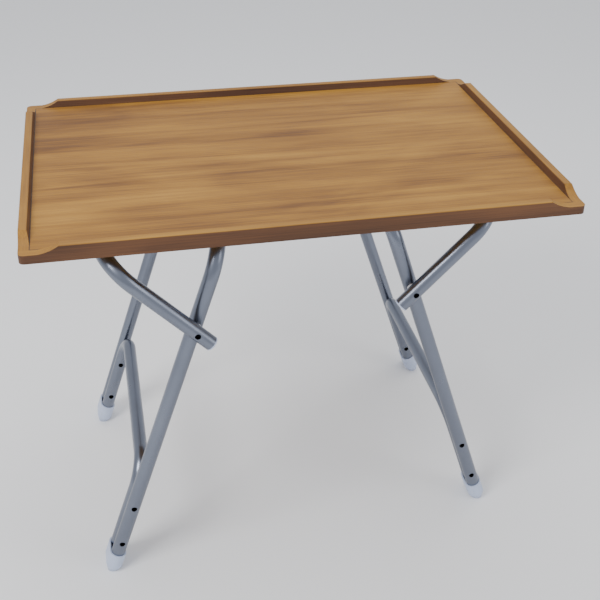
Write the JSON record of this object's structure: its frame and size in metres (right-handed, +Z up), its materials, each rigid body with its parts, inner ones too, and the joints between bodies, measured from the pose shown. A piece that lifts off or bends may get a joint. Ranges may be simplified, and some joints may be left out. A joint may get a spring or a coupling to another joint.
{
  "type": "folding tray table",
  "caption": "Rectangular wooden tray table with raised rails scooped down at the corners, on two splayed bent-tube leg frames with pivoted braces and pale plastic boots.",
  "frame": {"origin": "on the floor under the middle of the tray", "axes": "+X along the table length, +Y across it to the back, +Z up"},
  "size_m": [0.88, 0.6, 0.7],
  "materials": {
    "teak": "oiled golden-brown straight-grained board",
    "teak_edge": "oiled darker rails",
    "satin_tube": "satin anodised",
    "nylon": "matt white nylon",
    "white_plastic": "slightly glossy cool white plastic",
    "rivet": "plain",
    "screw_steel": "plain"
  },
  "bodies": {
    "table": {"tray_board": "teak", "front_rail": "teak_edge", "back_rail": "teak_edge", "left_rail": "teak_edge", "right_rail": "teak_edge", "right_leg_saddles": "nylon", "right_bar_sleeves": "nylon", "right_brace_saddles": "nylon", "right_saddle_screws": "screw_steel", "left_leg_saddles": "nylon", "left_bar_sleeves": "nylon", "left_brace_saddles": "nylon", "left_saddle_screws": "screw_steel"},
    "right_leg": {"right_leg_frame": "satin_tube", "right_stretcher": "satin_tube", "right_stretcher_rivets": "rivet", "right_front_foot": "white_plastic", "right_back_foot": "white_plastic"},
    "right_brace_arm": {"right_brace": "satin_tube", "right_pivot_rivets": "rivet", "right_pivot_spacers": "nylon", "right_brace_plugs": "white_plastic"},
    "left_leg": {"left_leg_frame": "satin_tube", "left_stretcher": "satin_tube", "left_stretcher_rivets": "rivet", "left_front_foot": "white_plastic", "left_back_foot": "white_plastic"},
    "left_brace_arm": {"left_brace": "satin_tube", "left_pivot_rivets": "rivet", "left_pivot_spacers": "nylon", "left_brace_plugs": "white_plastic"}
  },
  "joints": [
    {"name": "right_leg_swing", "type": "hinge", "parent": "table", "child": "right_leg", "pos_m": [0.13889, 0.02685, 0.6575], "axis": [0, 1, 0], "range_deg": [0, 60]},
    {"name": "right_brace_fold", "type": "hinge", "parent": "right_leg", "child": "right_brace_arm", "pos_m": [0.18733, 0.02685, 0.516], "axis": [0, 1, 0], "range_deg": [0, 107.5]},
    {"name": "left_leg_swing", "type": "hinge", "parent": "table", "child": "left_leg", "pos_m": [-0.13889, -0.02685, 0.6575], "axis": [0, -1, 0], "range_deg": [0, 60]},
    {"name": "left_brace_fold", "type": "hinge", "parent": "left_leg", "child": "left_brace_arm", "pos_m": [-0.18733, -0.02685, 0.516], "axis": [0, -1, 0], "range_deg": [0, 107.5]}
  ]
}
